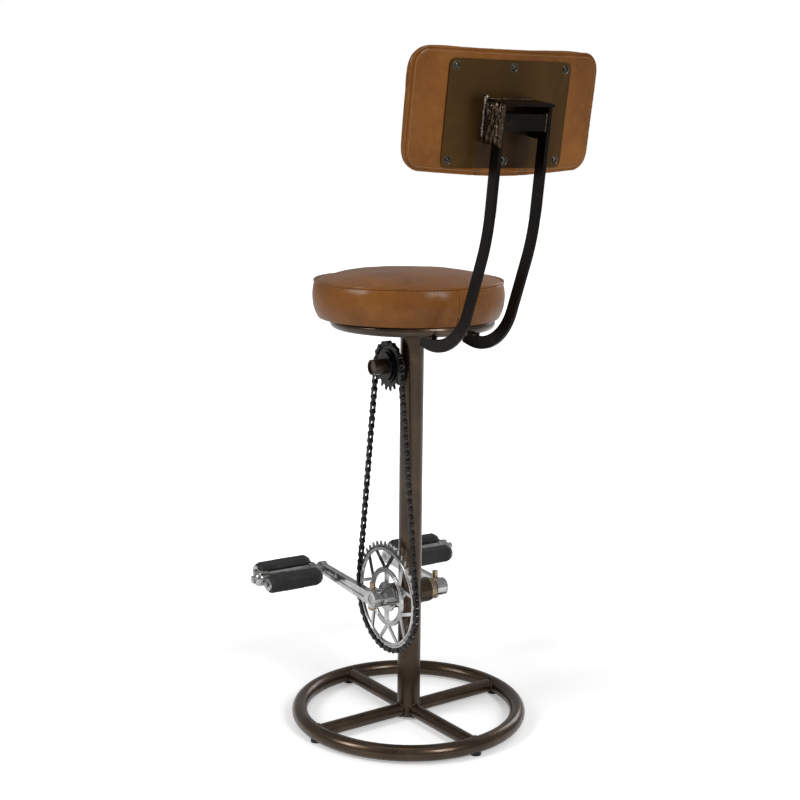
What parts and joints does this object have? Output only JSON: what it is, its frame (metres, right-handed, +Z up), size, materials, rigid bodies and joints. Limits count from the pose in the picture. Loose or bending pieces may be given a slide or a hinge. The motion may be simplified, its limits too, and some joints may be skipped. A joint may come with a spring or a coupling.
{
  "type": "bar stool",
  "caption": "Bar stool with a round padded seat, a padded backrest on two bent arms, a ring base and a bicycle crankset and chain as the footrest",
  "frame": {"origin": "On the floor plane, at the axis of the pole", "axes": "+X towards the sitter's left, where the chain runs; the sitter faces -Y, and the backrest is at +Y; +Z up"},
  "size_m": [0.393, 0.5091, 1.0783],
  "materials": {
    "tan_leather": "semi-gloss",
    "bronze_paint": "satin metallic",
    "black_paint": "satin",
    "aged_plate": "satin, aged",
    "black_chain": "oiled",
    "chrome": "polished",
    "steel": "machined",
    "cotter_steel": "yellowed plating",
    "black_rubber": "matt",
    "plywood": "raw"
  },
  "bodies": {
    "stool": {"seat_cushion": "tan_leather", "seat_piping": "tan_leather", "backrest_cushion": "tan_leather", "backrest_piping": "tan_leather", "backrest_back_panel": "tan_leather", "base_ring": "bronze_paint", "base_spoke_left": "bronze_paint", "base_spoke_back": "bronze_paint", "base_spoke_right": "bronze_paint", "base_spoke_front": "bronze_paint", "pole": "bronze_paint", "seat_ring": "bronze_paint", "seat_crossbars": "bronze_paint", "bb_shell": "bronze_paint", "sprocket_boss": "bronze_paint", "boss_cap": "bronze_paint", "back_arm_left": "black_paint", "back_arm_right": "black_paint", "arm_crossbar": "black_paint", "bracket_flange": "black_paint", "bracket_side_plates": "black_paint", "back_plate": "aged_plate", "chain_outer_links": "black_chain", "chain_inner_links": "black_chain", "chain_rollers": "black_chain", "freewheel_core": "black_chain", "freewheel_lock_ring": "black_chain", "bb_cup_chain_side": "steel", "bb_balls": "steel", "freewheel_balls": "steel", "seat_screws": "steel", "back_plate_screws": "steel", "bb_cup_plain_side": "cotter_steel", "bb_lock_ring": "cotter_steel", "base_feet": "black_rubber", "seat_board": "plywood", "backrest_board": "plywood"},
    "crankset": {"bb_axle": "steel", "chainring": "chrome", "crank_left": "chrome", "crank_right": "chrome", "cotter_pins": "cotter_steel", "cotter_nuts": "cotter_steel", "left_pedal_axle": "steel", "right_pedal_axle": "steel"},
    "freewheel_ring": {"freewheel_sprocket": "black_chain"},
    "left_pedal": {"left_pedal_barrel": "chrome", "left_pedal_inner_plate": "chrome", "left_pedal_outer_plate": "chrome", "left_pedal_rubbers": "black_rubber", "left_pedal_bolts": "steel", "left_pedal_dust_cap": "chrome"},
    "right_pedal": {"right_pedal_barrel": "chrome", "right_pedal_inner_plate": "chrome", "right_pedal_outer_plate": "chrome", "right_pedal_rubbers": "black_rubber", "right_pedal_bolts": "steel", "right_pedal_dust_cap": "chrome"}
  },
  "joints": [
    {"name": "crank_turn", "type": "hinge", "parent": "stool", "child": "crankset", "pos_m": [0, -0.008, 0.2135], "axis": [-1, 0, 0], "range_deg": [-57.27, 229.09], "deforming": ["chain_outer_links", "chain_inner_links", "chain_rollers"]},
    {"name": "freewheel_spin", "type": "hinge", "parent": "stool", "child": "freewheel_ring", "pos_m": [0.0395, -0.008, 0.59724], "axis": [-1, 0, 0], "continuous": true},
    {"name": "left_pedal_spin", "type": "hinge", "parent": "crankset", "child": "left_pedal", "pos_m": [0.12, -0.17781, 0.22151], "axis": [-1, 0, 0], "continuous": true},
    {"name": "right_pedal_spin", "type": "hinge", "parent": "crankset", "child": "right_pedal", "pos_m": [-0.12, -0.17781, 0.22151], "axis": [-1, 0, 0], "continuous": true}
  ],
  "couplings": [
    {"joint": "freewheel_spin", "follows": "crank_turn", "ratio": 2.4444}
  ]
}
